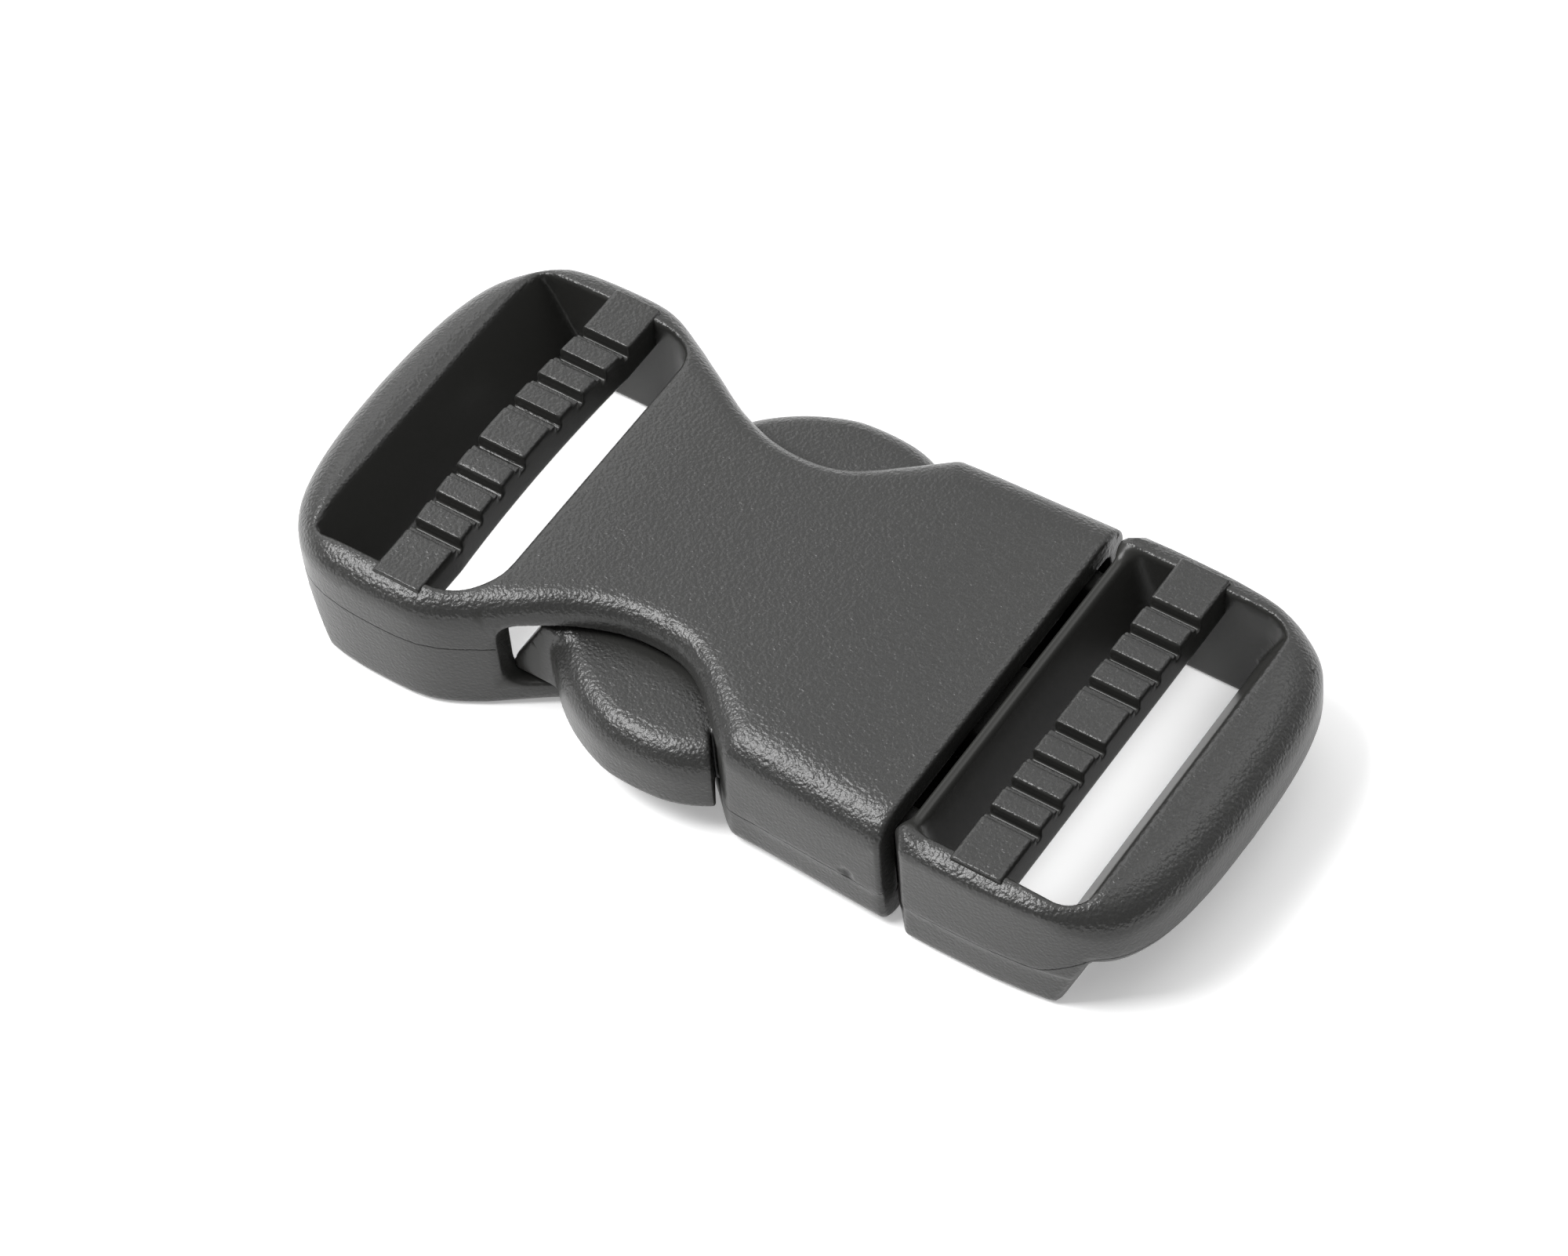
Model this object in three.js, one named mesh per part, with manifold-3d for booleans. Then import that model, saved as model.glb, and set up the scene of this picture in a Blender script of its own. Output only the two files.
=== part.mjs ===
// Double-adjust side-release buckle for 25 mm webbing.
// Two plastic mouldings: a socket (female half) and a plug (male half) with two spring arms.
// Millimetres, +Z up. Origin: middle of the latched buckle, on the plane it rests on.
// +X runs towards the plug's strap end, Y = 0 is the plane of symmetry.
import * as THREE from 'three';
import { mergeVertices } from 'three/addons/utils/BufferGeometryUtils.js';
import Module from 'manifold-3d';

const wasm = await Module();
wasm.setup();

// ---------------------------------------------------------------- driving dimensions
const HALF_LENGTH = 33.9;      // half of the latched length
const SLOT_HALF = 12.9;        // half of the strap slot, along Y (25.8 mm slot for 25 mm webbing)
const RIM_Z = 10.2;            // top of the strap frames
const CROWN_Z = 10.6;          // top of the socket's cover plate and of the crowned ladder bar
const FRAME_HALF = 15.15;      // half width of the socket's strap frame
const MOUTH_HALF = 14.7;       // half width of the socket's mouth
const PLUG_HALF = 14.7;        // half width of the plug's strap frame
const PAD_HALF = 15.4;         // half width over the two release pads
const BAR_W = 3.75;            // ladder bar, along X
const BAR_BOTTOM = 7.0;        // underside of the ladder bars
const GROOVE_DEPTH = 1.0;      // grooves between the ladder's teeth
const END_BAR_UNDER = 4.0;     // underside of both end bars
const SOCKET_BAR_X = -24.0;    // -X face of the socket's ladder bar
const SOCKET_SLOT_END = -29.8; // outer rim of the socket's outer slot
const PLATE_X = -16.4;         // -X edge of the cover plate
const MOUTH_X = 15.4;          // front edge of the mouth
const PLUG_X = 16.2;           // -X end of the plug's side walls
const BASE_FRONT = 15.8;       // face of the plug's base towards the mouth
const BASE_BACK = 17.2;        // face of the plug's base towards the strap
const PLUG_BAR_X = 20.15;      // -X face of the plug's ladder bar
const PLUG_SLOT_END = 29.3;    // outer rim of the plug's outer slot
const CAVITY_Z0 = 2.2;         // floor of the socket's cavity
const CAVITY_Z1 = 8.2;         // ceiling of the socket's cavity
const CAVITY_HALF = 12.65;     // half width of the cavity inside the mouth
const ARM_Z0 = 2.7;            // underside of the spring arms
const ARM_Z1 = 7.7;            // top of the spring arms and release pads
const TOOTH = 1.5;             // narrow tooth, along Y
const TOOTH_PITCH = 2.45;
const CENTRE_TOOTH = 3.0;      // wide tooth in the middle of the ladder
const END_PAD = 10.0;          // where the ladder's end pads start
const NODE_GAP = 0.3;          // joint line kept between neighbouring pieces

// ---------------------------------------------------------------- helpers
function solid(geometry) {
  const g = geometry.index ? geometry.toNonIndexed() : geometry.clone();
  g.deleteAttribute('normal');
  g.deleteAttribute('uv');
  const m = mergeVertices(g, 1e-5);
  return new wasm.Manifold(new wasm.Mesh({
    numProp: 3,
    vertProperties: Float32Array.from(m.attributes.position.array),
    triVerts: Uint32Array.from(m.index.array),
  }));
}
function geometryOf(man) {
  const mesh = man.getMesh();
  const g = new THREE.BufferGeometry();
  g.setAttribute('position', new THREE.BufferAttribute(new Float32Array(mesh.vertProperties), 3));
  g.setIndex(Array.from(mesh.triVerts));
  g.computeVertexNormals();
  return g;
}
// plan outline (list of [x, y]) extruded from z0 to z1
function plan(points, z0, z1) {
  const shape = new THREE.Shape(points.map(([x, y]) => new THREE.Vector2(x, y)));
  const g = new THREE.ExtrudeGeometry(shape, { depth: z1 - z0, bevelEnabled: false, curveSegments: 8 });
  g.translate(0, 0, z0);
  return solid(g);
}
// plan outline with its upper and lower edges rounded all the way round:
// a stack of inset copies of the outline, closed by a face at each end
function filleted(points, z0, z1, top, bottom, segments = 4) {
  let outline = points.map(([x, y]) => new THREE.Vector2(x, y));
  if (THREE.ShapeUtils.isClockWise(outline)) outline = outline.reverse();
  const n = outline.length;
  const inward = outline.map((p, i) => {
    const a = p.clone().sub(outline[(i + n - 1) % n]).normalize();
    const b = outline[(i + 1) % n].clone().sub(p).normalize();
    const m = new THREE.Vector2(-a.y - b.y, a.x + b.x).normalize();
    return m.multiplyScalar(1 / Math.max(0.5, m.dot(new THREE.Vector2(-a.y, a.x))));
  });
  const rings = [];
  for (let k = 0; k <= segments; k += 1) {
    const t = (Math.PI / 2) * (k / segments);
    rings.push([bottom * (1 - Math.sin(t)), z0 + bottom * (1 - Math.cos(t))]);
  }
  for (let k = segments; k >= 0; k -= 1) {
    const t = (Math.PI / 2) * (k / segments);
    rings.push([top * (1 - Math.sin(t)), z1 - top * (1 - Math.cos(t))]);
  }
  const position = [];
  for (const [inset, z] of rings) {
    outline.forEach((p, i) => position.push(p.x + inward[i].x * inset, p.y + inward[i].y * inset, z));
  }
  const index = [];
  for (let r = 0; r < rings.length - 1; r += 1) {
    for (let i = 0; i < n; i += 1) {
      const j = (i + 1) % n;
      index.push(r * n + i, r * n + j, (r + 1) * n + j, r * n + i, (r + 1) * n + j, (r + 1) * n + i);
    }
  }
  const last = (rings.length - 1) * n;
  for (const [i, j, k] of THREE.ShapeUtils.triangulateShape(outline, [])) {
    index.push(last + i, last + j, last + k, k, j, i);
  }
  const g = new THREE.BufferGeometry();
  g.setAttribute('position', new THREE.Float32BufferAttribute(position, 3));
  g.setIndex(index);
  return solid(g);
}
// side profile (list of [x, z]) extruded from y0 to y1
function side(points, y0, y1) {
  const shape = new THREE.Shape(points.map(([x, z]) => new THREE.Vector2(x, z)));
  const g = new THREE.ExtrudeGeometry(shape, { depth: y1 - y0, bevelEnabled: false, curveSegments: 8 });
  g.rotateX(Math.PI / 2);          // (x, z, d) -> (x, -d, z)
  g.translate(0, y1, 0);
  return solid(g);
}
// cross profile (list of [y, z]) extruded from x0 to x1
function cross(points, x0, x1) {
  const shape = new THREE.Shape(points.map(([y, z]) => new THREE.Vector2(y, z)));
  const g = new THREE.ExtrudeGeometry(shape, { depth: x1 - x0, bevelEnabled: false, curveSegments: 8 });
  g.applyMatrix4(new THREE.Matrix4().set(0, 0, 1, x0, 1, 0, 0, 0, 0, 1, 0, 0, 0, 0, 0, 1));
  return solid(g);
}
function block(x0, x1, y0, y1, z0, z1) {
  const g = new THREE.BoxGeometry(x1 - x0, y1 - y0, z1 - z0);
  g.translate((x0 + x1) / 2, (y0 + y1) / 2, (z0 + z1) / 2);
  return solid(g);
}
// closed outline with rounded corners: points are [u, v, radius]
function rounded(points, segments = 4) {
  const out = [];
  const n = points.length;
  for (let i = 0; i < n; i += 1) {
    const [px, py] = points[(i + n - 1) % n];
    const [cx, cy, r = 0] = points[i];
    const [nx, ny] = points[(i + 1) % n];
    if (!r) { out.push([cx, cy]); continue; }
    const a = new THREE.Vector2(px - cx, py - cy).normalize();
    const b = new THREE.Vector2(nx - cx, ny - cy).normalize();
    const half = Math.acos(THREE.MathUtils.clamp(a.dot(b), -1, 1)) / 2;
    const cut = r / Math.tan(half);
    const mid = a.clone().add(b).normalize().multiplyScalar(r / Math.sin(half));
    const centre = new THREE.Vector2(cx, cy).add(mid);
    const start = new THREE.Vector2(cx, cy).addScaledVector(a, cut).sub(centre);
    const end = new THREE.Vector2(cx, cy).addScaledVector(b, cut).sub(centre);
    const t0 = start.angle();
    let dt = end.angle() - t0;
    if (dt > Math.PI) dt -= 2 * Math.PI;
    if (dt < -Math.PI) dt += 2 * Math.PI;
    for (let k = 0; k <= segments; k += 1) {
      const t = t0 + (dt * k) / segments;
      out.push([centre.x + r * Math.cos(t), centre.y + r * Math.sin(t)]);
    }
  }
  return out;
}
// half outline given for y > 0, from -X to +X, mirrored into a closed loop
function mirrored(half) {
  const up = half.map(([x, y]) => [x, y]);
  const down = half.filter(([, y]) => y !== 0).map(([x, y]) => [x, -y]).reverse();
  return [...up, ...down].reverse();
}
// smooth curve through the given points
function smooth(points, count) {
  const curve = new THREE.SplineCurve(points.map(([x, y]) => new THREE.Vector2(x, y)));
  return curve.getPoints(count).map((p) => [p.x, p.y]);
}

// ---------------------------------------------------------------- outlines
// half outline of the socket's strap end, running on into the waist
const strapEnd = smooth([[-HALF_LENGTH, 0], [-33.75, 4.2], [-33.3, 7.8], [-32.4, 10.8], [-30.9, 13.0], [-29.0, 14.35], [-26.8, 14.95],
  [-24, FRAME_HALF], [-21, 15.1], [-18.9, 14.6], [PLATE_X, 13.3]], 24);
const waist = smooth([[PLATE_X, 13.3], [-14.2, 11.9], [-12.1, 10.6], [-10.4, 9.75], [-8, 8.95], [-5.6, 8.7], [-3.2, 9.0],
  [-1.3, 9.95], [0.4, 11.4], [2.1, 13.0], [3.1, 13.9]], 24).slice(1);
const mouthSide = [[8, 14.35], [12, 14.55], [16, MOUTH_HALF], [24, MOUTH_HALF]];
const plugHalf = [
  [8, PLUG_HALF - 0.1], [16, PLUG_HALF - 0.1],
  ...smooth([[19, PLUG_HALF], [23, PLUG_HALF - 0.05], [26.5, 14.35], [29.2, 13.75], [31.4, 12.35], [32.7, 10.2],
    [33.4, 7.6], [33.78, 4.2], [HALF_LENGTH, 0]], 20),
];

// strap frame: legs that stand on the floor, end bar carried 4 mm above it
function strapFrame(outline, sign, slotEnd, openX) {
  const s = sign;                                   // -1: end bar towards -X, +1: towards +X
  const x = (d) => slotEnd + s * d;                 // d measured outward from the slot's rim
  const order = (points) => (s > 0 ? points : [...points].reverse());
  const ring = filleted(outline, END_BAR_UNDER, RIM_Z, 3.0, 2.2);
  const legs = filleted(outline, 0, RIM_Z, 3.0, 0.5)
    .intersect(side(order([[s * -60, -1], [x(-1.5), -1], [x(-1.5), 0], [x(0.1), END_BAR_UNDER], [x(0.1), RIM_Z + 1], [s * -60, RIM_Z + 1]]), -20, 20));
  const body = ring.add(legs);
  // the slot: rounded corners in plan, outer wall leaning inward towards the floor
  const inner = openX;
  const corners = s < 0
    ? rounded([[slotEnd, -SLOT_HALF, 1.4], [inner, -SLOT_HALF, 2.4], [inner, SLOT_HALF, 2.4], [slotEnd, SLOT_HALF, 1.4]], 4)
    : rounded([[inner, -SLOT_HALF], [slotEnd, -SLOT_HALF, 2.2], [slotEnd, SLOT_HALF, 2.2], [inner, SLOT_HALF]], 4);
  const lean = [[slotEnd, RIM_Z + 1], [slotEnd, RIM_Z], [x(-2.8), END_BAR_UNDER + 0.3], [x(-1.6), END_BAR_UNDER - 0.2], [x(-1.6), -1], [inner, -1], [inner, RIM_Z + 1]];
  const slot = plan(corners, -2, RIM_Z + 2).intersect(side(s < 0 ? lean : [...lean].reverse(), -20, 20));
  return body.subtract(slot);
}

// ladder bar between the legs: end pads, three narrow teeth, a wide centre tooth, three more
function ladderBar(x0, top) {
  const profile = rounded([[x0, BAR_BOTTOM, 0.7], [x0 + BAR_W, BAR_BOTTOM, 0.7], [x0 + BAR_W, top, 0.35], [x0, top, 0.35]], 3);
  let bar = side(profile, -SLOT_HALF + NODE_GAP, SLOT_HALF - NODE_GAP);
  const gaps = [];
  for (let i = 0; i < 4; i += 1) {
    const near = i === 0 ? CENTRE_TOOTH / 2 : CENTRE_TOOTH / 2 + (TOOTH_PITCH - TOOTH) + TOOTH + (i - 1) * TOOTH_PITCH;
    const far = i === 3 ? END_PAD : near + (TOOTH_PITCH - TOOTH);
    gaps.push([near, far]);
  }
  for (const [a, b] of gaps) {
    bar = bar.subtract(block(x0 - 1, x0 + BAR_W + 1, a, b, RIM_Z - GROOVE_DEPTH, top + 1));
    bar = bar.subtract(block(x0 - 1, x0 + BAR_W + 1, -b, -a, RIM_Z - GROOVE_DEPTH, top + 1));
  }
  return bar;
}

// ---------------------------------------------------------------- socket
const socketFrame = strapFrame(mirrored([...strapEnd, ...waist.slice(0, 12), [0, 8.6]]), -1, SOCKET_SLOT_END, PLATE_X)
  .intersect(block(-60, PLATE_X - NODE_GAP / 2, -30, 30, -5, 30));

let socketBar = ladderBar(SOCKET_BAR_X, CROWN_Z);
// the outer parts of the crowned bar come down to the frame's rim
for (const s of [-1, 1]) {
  const cut = [[s * 4.5, CROWN_Z + 0.001], [s * 14, RIM_Z], [s * 14, 12], [s * 4.5, 12]];
  socketBar = socketBar.subtract(cross(s > 0 ? cut : cut.reverse(), SOCKET_BAR_X - 1, SOCKET_BAR_X + BAR_W + 1));
}

// cover plate crowned a little between the strap frame and the mouth
const socketShell = filleted(mirrored([...strapEnd, ...waist, ...mouthSide]), 0, CROWN_Z, 2.2, 1.2)
  .intersect(side(rounded([[PLATE_X + NODE_GAP / 2, -1], [MOUTH_X, -1], [MOUTH_X, RIM_Z + 0.1, 0.5], [4, CROWN_Z], [-8, CROWN_Z], [PLATE_X + NODE_GAP / 2, RIM_Z]], 3), -20, 20))
  // cavity, open at the mouth, at both side windows and towards the inner strap slot
  .subtract(block(-15.1, MOUTH_X + 1, -CAVITY_HALF, CAVITY_HALF, CAVITY_Z0, CAVITY_Z1))
  .subtract(block(PLATE_X - 1, -15, -10.9, 10.9, CAVITY_Z0 - 4, CAVITY_Z1));

// ---------------------------------------------------------------- plug
const plugFrame = strapFrame(mirrored(plugHalf), 1, PLUG_SLOT_END, PLUG_X - 1)
  .intersect(block(PLUG_X, 60, -30, 30, -5, 30));

const plugBar = ladderBar(PLUG_BAR_X, RIM_Z);

// base between the legs: the front wall, leaning back towards the strap lower down
const plugBase = side(rounded([[BASE_FRONT, 1.4, 0.3], [19.0, 1.4, 0.3], [18.9, 3.0, 0.4], [BASE_BACK, 9.3, 0.3], [BASE_FRONT, 9.3, 0.3]], 3), -SLOT_HALF + NODE_GAP, SLOT_HALF - NODE_GAP);

// guide tongue in the middle of the plug
const tongue = plan(rounded([[BASE_FRONT - NODE_GAP, -3.2], [BASE_FRONT - NODE_GAP, 3.2], [-0.5, 2.9, 1.0], [-3.6, 1.4, 0.8], [-3.6, -1.4, 0.8], [-0.5, -2.9, 1.0]].reverse(), 3), 3.2, 7.2)
  .subtract(plan(rounded([[1.5, -1.1, 1.0], [11.5, -1.1, 1.0], [11.5, 1.1, 1.0], [1.5, 1.1, 1.0]], 3), 0, 12));

// release arm on the +Y side: spring strip, head with the latch shoulder, pad and ramped tip
function arm(s) {
  const strip = [[15.3, 10.05, 0.3], [15.3, 11.8, 0.3], [9, 11.85], [4.2, 11.9]];
  const head = smooth([[1.75, 14.05], [0.9, 14.72], [-1, 15.28], [-3.5, PAD_HALF], [-5.8, 15.12], [-8.6, 13.95], [-10.9, 12.3], [-12.3, 10.6], [-12.6, 9.4]], 20);
  const outline = [
    ...rounded(strip, 2).map(([x, y]) => [x, y]),
    [0.1, 12.25],                // shoulder runs out along the mouth's slanting end face
    ...head,
    [-12.2, 8.6], [-11.4, 8.2], [-2.5, 8.2], [3.2, 9.9], [9, 10.0],
  ];
  const clean = outline.filter((p, i) => i === 0 || Math.hypot(p[0] - outline[i - 1][0], p[1] - outline[i - 1][1]) > 0.02);
  let m = plan(clean.reverse(), ARM_Z0, ARM_Z1);
  // ramped tip, reaching towards the strap end
  const tip = side([[-12.0, ARM_Z0], [-12.0, ARM_Z1 - 0.3], [-12.7, ARM_Z1 - 0.3], [-15.2, 3.6], [-15.2, ARM_Z0]].reverse(), 8.5, 10.3);
  m = m.add(tip);
  // rounded outer edges of the pad
  m = m.intersect(cross(rounded([[0, 0], [PAD_HALF + 0.02, 0], [PAD_HALF + 0.02, ARM_Z0, 0.001], [PAD_HALF + 0.02, ARM_Z1, 1.5], [0, ARM_Z1]], 4), -40, 40));
  const g = geometryOf(m);
  if (s < 0) {
    g.applyMatrix4(new THREE.Matrix4().makeScale(1, -1, 1));
    const idx = g.index.array;
    for (let i = 0; i < idx.length; i += 3) { const t = idx[i]; idx[i] = idx[i + 1]; idx[i + 1] = t; }
    g.computeVertexNormals();
  }
  return g;
}

// ---------------------------------------------------------------- scene graph
const charcoal = () => new THREE.MeshStandardMaterial({ color: 0x2b2c2b, roughness: 0.62, metalness: 0.0 });
const group = new THREE.Group();
group.name = 'side_release_buckle';
const socket = new THREE.Group();
socket.name = 'socket';
const plug = new THREE.Group();
plug.name = 'plug';
function addNode(parent, name, geometry) {
  const mesh = new THREE.Mesh(geometry, charcoal());
  mesh.name = name;
  parent.add(mesh);
}
addNode(socket, 'socket_strap_frame', geometryOf(socketFrame));
addNode(socket, 'socket_ladder_bar', geometryOf(socketBar));
addNode(socket, 'socket_shell', geometryOf(socketShell));
addNode(plug, 'plug_strap_frame', geometryOf(plugFrame));
addNode(plug, 'plug_ladder_bar', geometryOf(plugBar));
addNode(plug, 'plug_base', geometryOf(plugBase));
addNode(plug, 'plug_guide_tongue', geometryOf(tongue));
addNode(plug, 'release_arm_left', arm(1));
addNode(plug, 'release_arm_right', arm(-1));
group.add(socket, plug);

export default group;
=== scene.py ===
"""Looks of a double-adjust side-release buckle for 25 mm webbing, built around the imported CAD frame.

Every visible moulding is a signed distance field in millimetres, in the CAD frame, turned into a mesh.
"""
import math

import bpy
import numpy as np
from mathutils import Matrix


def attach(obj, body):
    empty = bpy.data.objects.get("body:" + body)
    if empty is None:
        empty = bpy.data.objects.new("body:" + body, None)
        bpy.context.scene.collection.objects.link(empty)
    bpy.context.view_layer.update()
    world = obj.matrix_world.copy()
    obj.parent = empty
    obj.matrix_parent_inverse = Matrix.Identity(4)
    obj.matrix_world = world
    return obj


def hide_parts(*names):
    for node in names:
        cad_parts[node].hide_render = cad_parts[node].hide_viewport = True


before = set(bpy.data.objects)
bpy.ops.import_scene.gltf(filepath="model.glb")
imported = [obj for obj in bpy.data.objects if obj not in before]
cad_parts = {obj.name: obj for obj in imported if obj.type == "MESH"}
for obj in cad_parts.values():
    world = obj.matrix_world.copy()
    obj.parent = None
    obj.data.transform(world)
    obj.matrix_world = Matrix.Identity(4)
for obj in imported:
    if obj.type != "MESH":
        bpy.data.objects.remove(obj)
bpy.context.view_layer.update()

import openvdb
from mathutils import Matrix, Vector

# ------------------------------------------------------------------ dimensions, mm, as in the CAD
HALF_LENGTH = 33.9
SLOT_HALF = 12.9
RIM_Z = 10.2
CROWN_Z = 10.6
FRAME_HALF = 15.15
MOUTH_HALF = 14.7
PLUG_HALF = 14.7
BAR_W = 3.75
BAR_BOTTOM = 7.0
UNDER_Z = 4.0
SOCKET_BAR_X = -24.0
SOCKET_SLOT_END = -29.8
PLATE_X = -16.4
MOUTH_X = 15.4
PLUG_X = 16.2
PLUG_BAR_X = 20.15
PLUG_SLOT_END = 29.3
CAVITY_Z0, CAVITY_Z1, CAVITY_HALF = 2.2, 8.2, 12.65
ARM_Z0, ARM_Z1 = 2.7, 7.7
COARSE = 0.19
FINE = 0.095


# ------------------------------------------------------------------ distance fields
def catmull(points, count):
    """The same uniform Catmull-Rom curve that the CAD's outlines use."""
    p = np.array(points, float)
    out = []
    for k in range(count + 1):
        t = (len(p) - 1) * k / count
        i = int(math.floor(t))
        w = t - i
        a = p[i if i == 0 else i - 1]
        b = p[min(i, len(p) - 1)]
        c = p[len(p) - 1 if i > len(p) - 2 else i + 1]
        d = p[len(p) - 1 if i > len(p) - 3 else i + 2]
        v0, v1 = (c - a) * 0.5, (d - b) * 0.5
        out.append((2 * b - 2 * c + v0 + v1) * w**3 + (-3 * b + 3 * c - 2 * v0 - v1) * w**2 + v0 * w + b)
    return [tuple(q) for q in out]


def mirrored(half):
    return list(half) + [(x, -y) for x, y in reversed(half) if abs(y) > 1e-9]


def polygon(points, X, Y):
    """Signed distance to a closed outline, negative inside."""
    p = np.array(points, float)
    d2 = np.full(X.shape, 1e9)
    inside = np.zeros(X.shape, bool)
    for (x0, y0), (x1, y1) in zip(p, np.roll(p, -1, 0)):
        ex, ey = x1 - x0, y1 - y0
        wx, wy = X - x0, Y - y0
        t = np.clip((wx * ex + wy * ey) / max(ex * ex + ey * ey, 1e-12), 0, 1)
        d2 = np.minimum(d2, (wx - ex * t) ** 2 + (wy - ey * t) ** 2)
        crosses = (y0 > Y) != (y1 > Y)
        if ey != 0:
            inside ^= crosses & (X < x0 + (Y - y0) * ex / ey)
    d = np.sqrt(d2)
    return np.where(inside, -d, d)


def meet(a, b, r=0.0):
    """Intersection with its edge rounded to radius r."""
    if np.isscalar(r) and r <= 0:
        return np.maximum(a, b)
    qa, qb = a + r, b + r
    return np.minimum(np.maximum(qa, qb), 0) + np.hypot(np.maximum(qa, 0), np.maximum(qb, 0)) - r


def join(a, b, r=0.0):
    return -meet(-a, -b, r)


def cut(a, b, r=0.0):
    return meet(a, -b, r)


def rect(X, Y, x0, x1, y0, y1, r=0.0):
    dx = np.abs(X - (x0 + x1) / 2) - (x1 - x0) / 2
    dy = np.abs(Y - (y0 + y1) / 2) - (y1 - y0) / 2
    return meet(dx, dy, r)


def ease(a, b, v):
    t = np.clip((v - a) / (b - a), 0, 1)
    return t * t * (3 - 2 * t)


class Grid:
    def __init__(self, lo, hi, step):
        self.lo, self.step = np.array(lo, float) - 2 * step, step
        n = np.ceil((np.array(hi) + 2 * step - self.lo) / step).astype(int) + 1
        self.n = n
        ax = [self.lo[i] + step * np.arange(n[i]) for i in range(3)]
        self.x = ax[0][:, None, None].astype(np.float32)
        self.y = ax[1][None, :, None].astype(np.float32)
        self.z = ax[2][None, None, :].astype(np.float32)
        self.X2, self.Y2 = np.meshgrid(ax[0], ax[1], indexing="ij")

    def flat(self, d):
        """A plan distance field, spread along Z."""
        return d[:, :, None].astype(np.float32)


def sample(field, g, P, order=1):
    """Trilinear value of the field at points P, and its gradient."""
    q = (P - g.lo) / g.step
    q = np.clip(q, 0, np.array(field.shape) - 1.001)
    i = q.astype(int)
    w = q - i
    v = {}
    for a in (0, 1):
        for b in (0, 1):
            for c in (0, 1):
                v[a, b, c] = field[i[:, 0] + a, i[:, 1] + b, i[:, 2] + c]
    wx, wy, wz = w.T

    def mix(u0, u1, t):
        return u0 + (u1 - u0) * t

    x00, x10 = mix(v[0, 0, 0], v[1, 0, 0], wx), mix(v[0, 1, 0], v[1, 1, 0], wx)
    x01, x11 = mix(v[0, 0, 1], v[1, 0, 1], wx), mix(v[0, 1, 1], v[1, 1, 1], wx)
    return mix(mix(x00, x10, wy), mix(x01, x11, wy), wz)


def mesh_from(name, field, g, grain, seam=None, adaptivity=0.02):
    """Turns a field into an object; grain(P, N) gives each vertex its surface finish, 0 polished to 1 coarse,
    and seam(P, N) how far, in mm, it is from a parting line."""
    field = np.ascontiguousarray(np.broadcast_to(field, tuple(g.n)), dtype=np.float32)
    field = np.clip(field, -4 * g.step, 4 * g.step)
    vdb = openvdb.FloatGrid(float(4 * g.step))
    vdb.copyFromArray(field)
    points, tris, quads = vdb.convertToPolygons(0.0, adaptivity)
    P = np.array(points, float) * g.step + g.lo
    gx, gy, gz = np.gradient(field, g.step)

    def gradient(Q):
        n = np.stack([sample(gx, g, Q), sample(gy, g, Q), sample(gz, g, Q)], 1)
        return n / np.maximum(np.linalg.norm(n, axis=1), 1e-9)[:, None]

    for _ in range(2):
        P = P - 0.8 * gradient(P) * sample(field, g, P)[:, None]
    N = gradient(P)
    P[:, 2] = np.maximum(P[:, 2], 0.0)
    faces = [tuple(int(k) for k in f) for f in np.concatenate([np.array(quads)], 0)] if len(quads) else []
    faces += [tuple(int(k) for k in f) for f in tris] if len(tris) else []
    me = bpy.data.meshes.new(name)
    me.from_pydata((P / 1000).tolist(), [], faces)
    # face direction: out of the solid
    f0 = np.array([f[:3] for f in faces[:: max(1, len(faces) // 400)]])
    fn = np.cross(P[f0[:, 1]] - P[f0[:, 0]], P[f0[:, 2]] - P[f0[:, 0]])
    if (fn * N[f0[:, 0]]).sum() < 0:
        me.flip_normals()
    me.polygons.foreach_set("use_smooth", np.ones(len(me.polygons), bool))
    a = me.attributes.new("grain", "FLOAT", "POINT")
    a.data.foreach_set("value", np.clip(grain(P, N), 0, 1).astype(np.float32))
    a = me.attributes.new("seam", "FLOAT", "POINT")
    line = np.full(len(P), 9.0) if seam is None else seam(P, N)
    a.data.foreach_set("value", line.astype(np.float32))
    me.update()
    ob = bpy.data.objects.new(name, me)
    bpy.context.scene.collection.objects.link(ob)
    return ob


# ------------------------------------------------------------------ outlines (half, y > 0)
strap_end = catmull([(-HALF_LENGTH, 0), (-33.75, 4.2), (-33.3, 7.8), (-32.4, 10.8), (-30.9, 13.0), (-29.0, 14.35), (-26.8, 14.95),
                     (-24, FRAME_HALF), (-21, 15.1), (-18.9, 14.6), (PLATE_X, 13.3)], 48)
waist = catmull([(PLATE_X, 13.3), (-14.2, 11.9), (-12.1, 10.6), (-10.4, 9.75), (-8, 8.95), (-5.6, 8.7), (-3.2, 9.0),
                 (-1.3, 9.95), (0.4, 11.4), (2.1, 13.0), (2.75, 13.6)], 48)[1:]
mouth_side = catmull([(2.75, 13.6), (3.25, 13.95), (4.0, 14.12), (8, 14.35), (12, 14.55), (16, MOUTH_HALF), (24, MOUTH_HALF)], 40)[1:]
plug_half = [(8, PLUG_HALF - 0.1), (16, PLUG_HALF - 0.1)] + catmull(
    [(19, PLUG_HALF), (23, PLUG_HALF - 0.05), (26.5, 14.35), (29.2, 13.75), (31.4, 12.35), (32.7, 10.2), (33.4, 7.6), (33.78, 4.2), (HALF_LENGTH, 0)], 44)


def strap_frame(g, D, s, slot_end, top, rt, rb, low):
    """The whole half, with an end bar carried above the floor between legs that stand on it. Its top edge is an
    elliptical rounding, rt wide and low * rt high."""
    x, z = g.x, g.z
    D = D * low
    full = meet(D, z - top, rt * low)
    ring = meet(full, UNDER_Z - z, 2.3)
    slope = s * ((x - (slot_end - s * 1.5)) * 4 / 4.308) - z * 1.6 / 4.308
    legs = meet(meet(full, -z, rb), slope, 0.35)
    return np.minimum(ring, legs)


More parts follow.
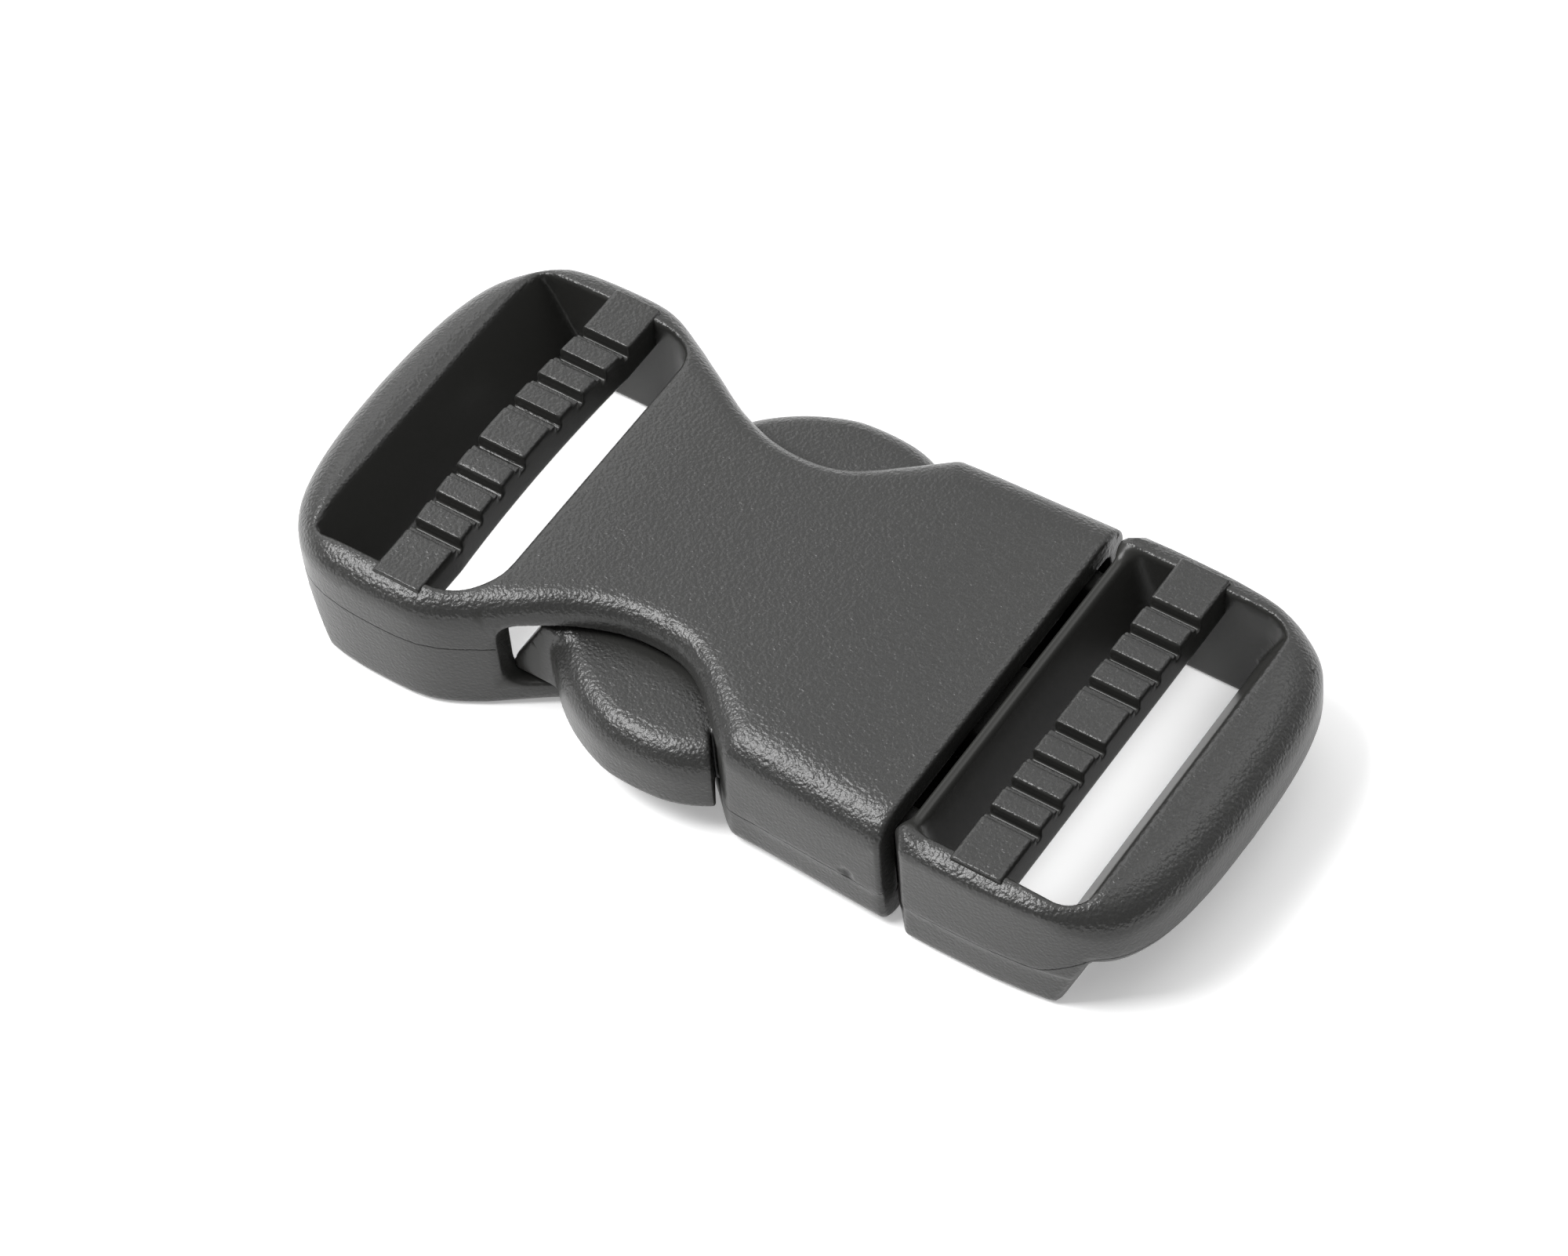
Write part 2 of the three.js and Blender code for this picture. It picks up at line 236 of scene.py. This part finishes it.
def strap_slot(g, s, slot_end, inner, near, far):
    """Rounded corners in plan, and an outer wall that leans inward towards the floor."""
    x, z = g.x, g.z
    lo, hi = min(slot_end, inner), max(slot_end, inner)
    r = np.where((g.X2 - (lo + hi) / 2) * s > 0, far, near)
    hole = g.flat(rect(g.X2, g.Y2, lo, hi, -SLOT_HALF, SLOT_HALF, r))
    wall = slot_end - s * 2.8 * np.clip((RIM_Z - z) / (RIM_Z - UNDER_Z - 0.3), 0, 1)
    wall = np.where(z < UNDER_Z + 0.12, slot_end - s * 1.6, wall)
    return np.maximum(hole, s * (x - wall) * 0.9)


def tooth_row(g, x0, top, edge):
    """Ladder bar: end pads, three narrow teeth, a wide middle tooth, three more, each with a ledge on one side."""
    x, y, z = g.x, g.y, g.z
    w = BAR_W
    bow = 0.35 * (1 - (y / 9.5) ** 2).clip(0, 1) if top > RIM_Z + 0.1 else 0 * y
    xs = x + bow                                        # the crowned bar bows towards the strap end
    body = rect(xs, z, x0, x0 + w, BAR_BOTTOM, 30, 0.7)
    body = meet(body, BAR_BOTTOM - z, 0.6)
    tz = RIM_Z + 0.02 + (top - RIM_Z - 0.02) * (1 - np.abs(y) / 11.0).clip(0, 1) ** 0.8
    side = np.maximum(x0 - xs, xs - x0 - w)
    f = meet(body, z - tz, 0.32)
    f = meet(f, np.abs(y) - edge, 0.05)
    starts = [-9.95, -7.5, -5.05, -2.55, 1.5, 4.1, 6.6, 9.05]
    ends = [-9.05, -6.6, -4.1, -1.5, 2.55, 5.05, 7.5, 9.95]
    for a, b in zip(starts, ends):
        ledge = meet(np.abs(y - (a + b) / 2) - (b - a) / 2, (tz - 0.34) - z, 0.12)
        groove = meet(np.abs(y - (b - 0.24)) - 0.24, (tz - 1.0) - z, 0.15)
        f = cut(f, ledge, 0.12)
        f = cut(f, groove, 0.08)
    return f


# ------------------------------------------------------------------ socket
def build_socket():
    g = Grid((-34.2, -15.4, -0.2), (15.7, 15.4, 10.9), COARSE)
    x, y, z = g.x, g.y, g.z
    d = polygon(mirrored(strap_end + waist + mouth_side), g.X2, g.Y2)
    crown = (CROWN_Z - 0.05 - RIM_Z) * ease(-19, -12, g.X2) * (1 - ease(4, 15, g.X2)) * (1 - 0.35 * (g.Y2 / 15) ** 2)
    top = RIM_Z + g.flat(crown)
    rt = g.flat(3.0 - 0.5 * ease(-31.0, -27.5, g.X2) - 0.8 * ease(-19, -13, g.X2) + 1.3 * ease(-1, 5.5, g.X2)).astype(np.float32)
    low = g.flat(0.85 - 0.17 * ease(-31.0, -27.5, g.X2) + 0.32 * ease(-21, -15, g.X2) - 0.32 * ease(-0.5, 5.5, g.X2)).astype(np.float32)
    rb = g.flat(0.5 + 0.7 * ease(-18, -12, g.X2)).astype(np.float32)
    D = g.flat(d) + 0.012 * np.abs(z - 4.5)          # a little draft either way from the parting line
    D = D + 0.10 * ease(3.0, 6.0, x) * ease(3.55, 3.35, z)   # the lower mould half sits back a touch
    f = strap_frame(g, D, -1, SOCKET_SLOT_END, top, rt, rb, low)
    f = meet(f, x - MOUTH_X, 0.3)
    f = cut(f, strap_slot(g, -1, SOCKET_SLOT_END, PLATE_X, np.where(g.Y2 < 0, 4.2, 2.8), 1.4), 0.4)
    # cavity for the plug, open at the mouth and through both side windows
    cav = meet(meet(-15.5 - x, np.abs(z - (CAVITY_Z0 + CAVITY_Z1) / 2) - (CAVITY_Z1 - CAVITY_Z0) / 2, 1.5),
               np.abs(y) - CAVITY_HALF, 0.4)
    back = meet(rect(g.X2, g.Y2, -18, -14.6, -10.9, 10.9, 0.6)[:, :, None], z - CAVITY_Z1, 0.4)
    back = np.maximum(back, np.where(z < CAVITY_Z0, x + 16.1, -9.0))
    f = cut(f, cav, 0.25)
    f = cut(f, back, 0.3)
    # gate mark on the near side of the mouth
    f = cut(f, np.sqrt((x - 12.7) ** 2 + (y + 14.95) ** 2 + (z - 3.9) ** 2) - 0.6, 0.1)

    def grain(P, N):
        X, Y, Z = P.T
        up = ease(0.1, 0.55, N[:, 2]) * ease(6.0, 8.5, Z)
        v = np.maximum(up, 0.42)
        slot = (X > SOCKET_SLOT_END - 0.2) & (X < PLATE_X + 0.3) & (np.abs(Y) < SLOT_HALF + 0.15) & (N[:, 2] < 0.6)
        inner = (X > -15.4) & (np.abs(Y) < CAVITY_HALF + 0.1) & (Z > CAVITY_Z0 - 0.1) & (Z < CAVITY_Z1 + 0.1)
        v[slot | inner] = 0.0
        return v

    def seam(P, N):
        X, Y, Z = P.T
        level = 6.0 - 2.5 * ease(-17.0, 3.0, X)
        side = (np.abs(N[:, 2]) < 0.6) & ((X < -15.2) | (X > 2.4)) & ((N[:, 1] * np.sign(Y) > 0.3) | ((X < -30.5) & (N[:, 0] < -0.3)))
        return np.where(side, Z - level, 9.0)

    ob = mesh_from("socket_moulding", f, g, grain, seam)
    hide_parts("socket_strap_frame", "socket_shell")
    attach(ob, "socket")
    g2 = Grid((-24.7, -14.0, 6.8), (-20.0, 14.0, 10.8), FINE)
    f2 = tooth_row(g2, SOCKET_BAR_X, CROWN_Z, 13.85)
    bar = mesh_from("socket_toothed_bar", f2, g2, bar_grain)
    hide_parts("socket_ladder_bar")
    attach(bar, "socket")
    return ob, bar


def bar_grain(P, N):
    return np.maximum(ease(0.3, 0.7, N[:, 2]) * ease(9.3, 9.6, P[:, 2]), 0.05)


# ------------------------------------------------------------------ plug
def build_plug():
    g = Grid((-4.0, -15.0, -0.2), (34.2, 15.0, 10.5), COARSE)
    x, y, z = g.x, g.y, g.z
    d = polygon(mirrored(plug_half), g.X2, g.Y2)
    top = RIM_Z + 0 * g.flat(d)
    D = g.flat(d) + 0.012 * np.abs(z - 4.5)
    D = D + 0.10 * ease(3.55, 3.35, z)
    rt = g.flat(3.4 - 0.4 * ease(26.5, 30.5, g.X2)).astype(np.float32)
    low = g.flat(0.34 + 0.48 * ease(26.5, 31.0, g.X2)).astype(np.float32)
    f = strap_frame(g, D, 1, PLUG_SLOT_END, top, rt, 0.5, low)
    f = meet(f, PLUG_X - x, 0.9)
    f = cut(f, strap_slot(g, 1, PLUG_SLOT_END, 8.0, 0.02, 2.2), 0.4)
    # base between the legs: a thin rounded ridge on top, leaning back towards the strap lower down
    lean = 16.95 + 1.95 * (9.4 - z) / 6.4
    front = np.maximum(15.8 - x, (16.25 - x) - 0.45 * ease(4.0, 3.0, z))
    base = meet(meet(front, (x - lean) * 0.96, 0.12), np.maximum(1.4 - z, z - 9.42), 0.22)
    base = np.maximum(base, np.abs(y) - SLOT_HALF - 0.1)
    f = join(f, base, 1.35)
    tongue = polygon([(15.9, -3.2), (15.9, 3.2), (-0.3, 2.9), (-3.2, 1.9), (-3.6, 1.0), (-3.6, -1.0), (-3.2, -1.9), (-0.3, -2.9)], g.X2, g.Y2)
    slot = rect(g.X2, g.Y2, 1.5, 11.5, -1.1, 1.1, 1.05)
    tongue = meet(g.flat(cut(tongue, slot)), np.abs(z - 5.2) - 2.0, 0.4)
    f = join(f, tongue, 0.5)

    def grain(P, N):
        X, Y, Z = P.T
        v = np.maximum(ease(0.1, 0.55, N[:, 2]) * ease(6.0, 8.5, Z), 0.42)
        slot = (X > PLUG_X - 0.6) & (X < PLUG_SLOT_END + 0.2) & (np.abs(Y) < SLOT_HALF + 0.15) & (N[:, 2] < 0.75)
        v[slot | (X < 17.4) & (np.abs(Y) < 13)] = 0.0
        return v

    def seam(P, N):
        X, Y, Z = P.T
        side = (np.abs(N[:, 2]) < 0.6) & ((N[:, 1] * np.sign(Y) > 0.3) | ((X > 30.2) & (N[:, 0] > 0.3)))
        return np.where(side, Z - 3.5 - 2.4 * ease(26, 31, X), 9.0)

    ob = mesh_from("plug_moulding", f, g, grain, seam)
    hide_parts("plug_strap_frame", "plug_base", "plug_guide_tongue")
    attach(ob, "plug")
    g2 = Grid((19.6, -13.9, 6.8), (24.4, 13.9, 10.5), FINE)
    f2 = tooth_row(g2, PLUG_BAR_X, RIM_Z, 13.7)
    bar = mesh_from("plug_toothed_bar", f2, g2, bar_grain)
    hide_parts("plug_ladder_bar")
    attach(bar, "plug")
    return ob, bar


def build_arm(side):
    lo, hi = (-16.1, 7.6, 2.4), (16.2, 15.7, 8.0)
    if side < 0:
        lo, hi = (-16.1, -15.7, 2.4), (16.2, -7.6, 8.0)
    g = Grid(lo, hi, COARSE * 0.8)
    x, y, z = g.x, g.y * side, g.z
    outer = catmull([(5.5, 11.6), (4.2, 12.6), (2.6, 13.75), (0.9, 14.72), (-1, 15.28), (-3.5, 15.4), (-5.8, 15.12), (-8.6, 13.95),
                     (-10.9, 12.3), (-12.3, 10.6), (-12.9, 8.6)], 60)
    head = g.flat(polygon(outer + [(-12.2, 8.4), (-11.4, 8.2), (-2.5, 8.2), (3.2, 9.9)], g.X2, g.Y2 * side))
    strip = g.flat(polygon([(16.0, 10.05), (16.0, 11.8), (9, 11.85), (4.2, 11.9), (-4, 12.0), (-4, 8.2), (-2.5, 8.2), (3.2, 9.9), (9, 10.0)],
                           g.X2, g.Y2 * side))
    # pad with one broad rounding round its outer rim, ended by the shoulder that catches the mouth's end wall
    head = meet(meet(head, z - ARM_Z1, g.flat(0.3 + 1.9 * ease(8.6, 10.8, g.Y2 * side)).astype(np.float32)), ARM_Z0 - z, 0.35)
    head = meet(head, (x - 2.4) * 0.811 - (y - 14.0) * 0.585, 0.18)
    strip = meet(meet(strip, z - ARM_Z1, 0.3), ARM_Z0 - z, 0.3)
    f = np.minimum(head, strip)
    # ramped tip reaching towards the strap end
    tip = meet(rect(g.X2, g.Y2 * side, -15.35, -11.2, 8.3, 11.45, 0.3)[:, :, None], np.maximum(ARM_Z0 - z, z - 7.5), 0.25)
    tip = meet(tip, (y - 11.4) + (z - 2.7) * 0.2, 0.3)
    tip = meet(tip, -(x + 13.3) * 0.876 + (z - 7.4) * 0.482, 0.25)
    f = join(f, tip, 0.5)

    def grain(P, N):
        X, Y, Z = P.T
        Y = Y * side
        v = ease(8.8, 10.2, Y) * ease(3.2, 1.6, X) * ease(-13.2, -12.6, X)
        return v * np.maximum(ease(0.05, 0.5, N[:, 2]), 0.42) + 0.03

    name = "release_arm_left_moulding" if side > 0 else "release_arm_right_moulding"
    body = "arm_left" if side > 0 else "arm_right"
    ob = mesh_from(name, f, g, grain)
    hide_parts("release_arm_left" if side > 0 else "release_arm_right")
    return ob, body


# ------------------------------------------------------------------ material
def moulded_plastic(name, tone=1.0):
    m = bpy.data.materials.new(name)
    m.use_nodes = True
    nt = m.node_tree
    nt.nodes.clear()

    def node(kind, **props):
        n = nt.nodes.new(kind)
        for k, v in props.items():
            setattr(n, k, v)
        return n

    def math_(op, a, b=None, c=None, clamp=False):
        n = node("ShaderNodeMath", operation=op, use_clamp=clamp)
        for i, v in enumerate((a, b, c)):
            if v is None:
                continue
            if isinstance(v, (int, float)):
                n.inputs[i].default_value = v
            else:
                nt.links.new(v, n.inputs[i])
        return n.outputs[0]

    out = node("ShaderNodeOutputMaterial")
    bsdf = node("ShaderNodeBsdfPrincipled")
    nt.links.new(bsdf.outputs[0], out.inputs[0])
    coord = node("ShaderNodeTexCoord").outputs["Object"]
    finish = node("ShaderNodeAttribute", attribute_name="grain").outputs["Fac"]

    def noise(scale, detail, rough=0.5, dim="3D"):
        n = node("ShaderNodeTexNoise", noise_dimensions=dim)
        n.inputs["Scale"].default_value = scale
        n.inputs["Detail"].default_value = detail
        n.inputs["Roughness"].default_value = rough
        nt.links.new(coord, n.inputs["Vector"])
        return n.outputs["Fac"]

    coarse = noise(4300, 1.6, 0.5)
    fine = noise(9500, 1.5, 0.5)
    broad = noise(90, 3.0, 0.5)
    # leather-like grain: soft-topped cells
    cells = node("ShaderNodeTexVoronoi", feature="SMOOTH_F1")
    cells.inputs["Scale"].default_value = 3900
    cells.inputs["Smoothness"].default_value = 0.6
    nt.links.new(coord, cells.inputs["Vector"])
    height = math_("MULTIPLY_ADD", cells.outputs["Distance"], -0.55, coarse)
    height = math_("MULTIPLY", height, finish)
    height = math_("MULTIPLY_ADD", fine, math_("MULTIPLY_ADD", finish, 0.22, 0.05), height)
    # parting line: a hairline groove in the bump, and painted shade darkening the colour along it
    away = node("ShaderNodeAttribute", attribute_name="seam").outputs["Fac"]
    away = math_("MULTIPLY_ADD", math_("SUBTRACT", coarse, 0.5), 0.12, away)
    groove = math_("SUBTRACT", 1.0, math_("DIVIDE", math_("ABSOLUTE", away), 0.11), clamp=True)
    height = math_("MULTIPLY_ADD", groove, -0.6, height)
    bump = node("ShaderNodeBump")
    bump.inputs["Strength"].default_value = 1.0
    bump.inputs["Distance"].default_value = 0.000055
    nt.links.new(height, bump.inputs["Height"])
    nt.links.new(bump.outputs[0], bsdf.inputs["Normal"])
    # colour: charcoal with faint random mottling; the polished surfaces (cavity, slot and bar walls) are made
    # lighter than the grained tops, painted fill light
    ramp = node("ShaderNodeValToRGB")
    ramp.color_ramp.elements[0].position = 0.25
    ramp.color_ramp.elements[0].color = (0.0250 * tone, 0.0250 * tone, 0.0235 * tone, 1)
    ramp.color_ramp.elements[1].position = 0.8
    ramp.color_ramp.elements[1].color = (0.021 * tone, 0.021 * tone, 0.0205 * tone, 1)
    # painted light: a finish near 0 puts the polished walls at the lighter end of the ramp, the broad noise is real
    # random mottling
    mottle_and_painted_fill = math_("MULTIPLY_ADD", broad, 0.5, math_("MULTIPLY", finish, 0.4))
    nt.links.new(mottle_and_painted_fill, ramp.inputs[0])
    # dust: sparse pale specks
    dust = node("ShaderNodeTexVoronoi", feature="F1")
    dust.inputs["Scale"].default_value = 420
    nt.links.new(coord, dust.inputs["Vector"])
    near = math_("LESS_THAN", dust.outputs["Distance"], 0.045)
    some = math_("GREATER_THAN", noise(160, 1.0), 0.66)
    speck = math_("MULTIPLY", math_("MULTIPLY", near, some), 0.35)
    mix = node("ShaderNodeMix", data_type="RGBA")
    nt.links.new(speck, mix.inputs[0])
    nt.links.new(ramp.outputs[0], mix.inputs[6])
    mix.inputs[7].default_value = (0.35, 0.34, 0.31, 1)
    # painted shade: the base colour goes near black along the parting-line groove
    seam_painted_shade = node("ShaderNodeMix", data_type="RGBA")
    nt.links.new(math_("MULTIPLY", groove, 0.9), seam_painted_shade.inputs[0])
    nt.links.new(mix.outputs[2], seam_painted_shade.inputs[6])
    seam_painted_shade.inputs[7].default_value = (0.004, 0.004, 0.004, 1)
    nt.links.new(seam_painted_shade.outputs[2], bsdf.inputs["Base Color"])
    rough = math_("MULTIPLY_ADD", finish, 0.01, 0.28)
    rough = math_("MULTIPLY_ADD", broad, 0.06, rough)
    nt.links.new(rough, bsdf.inputs["Roughness"])
    level = math_("MULTIPLY_ADD", finish, 0.25, 0.25)
    nt.links.new(math_("MULTIPLY", level, math_("SUBTRACT", 1.0, math_("MULTIPLY", groove, 0.8))), bsdf.inputs["Specular IOR Level"])
    bsdf.inputs["IOR"].default_value = 1.5
    return m


socket_mat = moulded_plastic("socket_plastic")
plug_mat = moulded_plastic("plug_plastic", 0.97)
for ob in build_socket():
    ob.data.materials.append(socket_mat)
for ob in build_plug():
    ob.data.materials.append(plug_mat)
for side in (1, -1):
    ob, body = build_arm(side)
    ob.data.materials.append(plug_mat)
    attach(ob, body)

# ------------------------------------------------------------------ floor, light, camera
bpy.ops.mesh.primitive_plane_add(size=3.0, location=(0, 0, -0.00002))
floor = bpy.context.object
floor.name = "floor"
fm = bpy.data.materials.new("floor_white")
fm.use_nodes = True
fm.node_tree.nodes["Principled BSDF"].inputs["Base Color"].default_value = (0.88, 0.88, 0.88, 1)
fm.node_tree.nodes["Principled BSDF"].inputs["Roughness"].default_value = 0.7
fm.node_tree.nodes["Principled BSDF"].inputs["Emission Color"].default_value = (1, 1, 1, 1)
fm.node_tree.nodes["Principled BSDF"].inputs["Emission Strength"].default_value = 0.28
floor.data.materials.append(fm)


def area(name, where, size, power, aim=(0.0, 0.0, 0.005)):
    light = bpy.data.lights.new(name, "AREA")
    light.shape = "RECTANGLE"
    light.size, light.size_y = size
    light.energy = power
    ob = bpy.data.objects.new(name, light)
    bpy.context.scene.collection.objects.link(ob)
    ob.location = where
    ob.rotation_euler = (Vector(aim) - Vector(where)).to_track_quat("-Z", "Y").to_euler()
    return ob


area("softbox", (-0.25, -0.17, 0.53), (0.30, 0.30), 4.3)
area("back_left", (-0.45, 0.30, 0.35), (0.35, 0.30), 0.5)
area("top_back", (0.09, 0.22, 0.39), (0.26, 0.26), 0.35)
world = bpy.data.worlds.new("studio")
bpy.context.scene.world = world
world.use_nodes = True
# a white studio, dimmer low down in front and to the right
wt = world.node_tree
direction = wt.nodes.new("ShaderNodeTexCoord").outputs["Generated"]
facing = wt.nodes.new("ShaderNodeVectorMath")
facing.operation = "DOT_PRODUCT"
wt.links.new(direction, facing.inputs[0])
facing.inputs[1].default_value = Vector((-0.45, 0.55, 0.70)).normalized()
tones = wt.nodes.new("ShaderNodeMapRange")
tones.interpolation_type = "SMOOTHSTEP"
wt.links.new(facing.outputs["Value"], tones.inputs["Value"])
for key, value in (("From Min", -0.35), ("From Max", 0.85), ("To Min", 0.22), ("To Max", 0.82)):
    tones.inputs[key].default_value = value
wt.links.new(tones.outputs["Result"], wt.nodes["Background"].inputs[0])
wt.nodes["Background"].inputs[1].default_value = 1.0
bpy.context.scene.view_settings.view_transform = "Standard"

# camera: fitted to the view, 7400 px focal length on a 2000 px wide frame
az, el, roll = map(math.radians, (38.2, 52.1, 5.7))
back = np.array([math.sin(az) * math.cos(el), -math.cos(az) * math.cos(el), math.sin(el)])
zc = -back
xc = np.cross(zc, [0, 0, 1.0])
xc /= np.linalg.norm(xc)
yc = np.cross(zc, xc)
right = math.cos(roll) * xc + math.sin(roll) * yc
down = -math.sin(roll) * xc + math.cos(roll) * yc
R = np.stack([right, down, zc])
T = np.array([-19.01575691, -13.29930645, 380.45685184])
C = -R.T @ T
C = (C + [-24.1, 0, 10.2]) / 1000
cam_data = bpy.data.cameras.new("camera")
cam_data.sensor_width = 36.0
cam_data.lens = 7400 / 2000 * 36.0
cam_data.clip_start, cam_data.clip_end = 0.01, 20
cam = bpy.data.objects.new("camera", cam_data)
bpy.context.scene.collection.objects.link(cam)
cam.matrix_world = Matrix(((right[0], -down[0], -zc[0], C[0]), (right[1], -down[1], -zc[1], C[1]), (right[2], -down[2], -zc[2], C[2]), (0, 0, 0, 1)))
bpy.context.scene.camera = cam
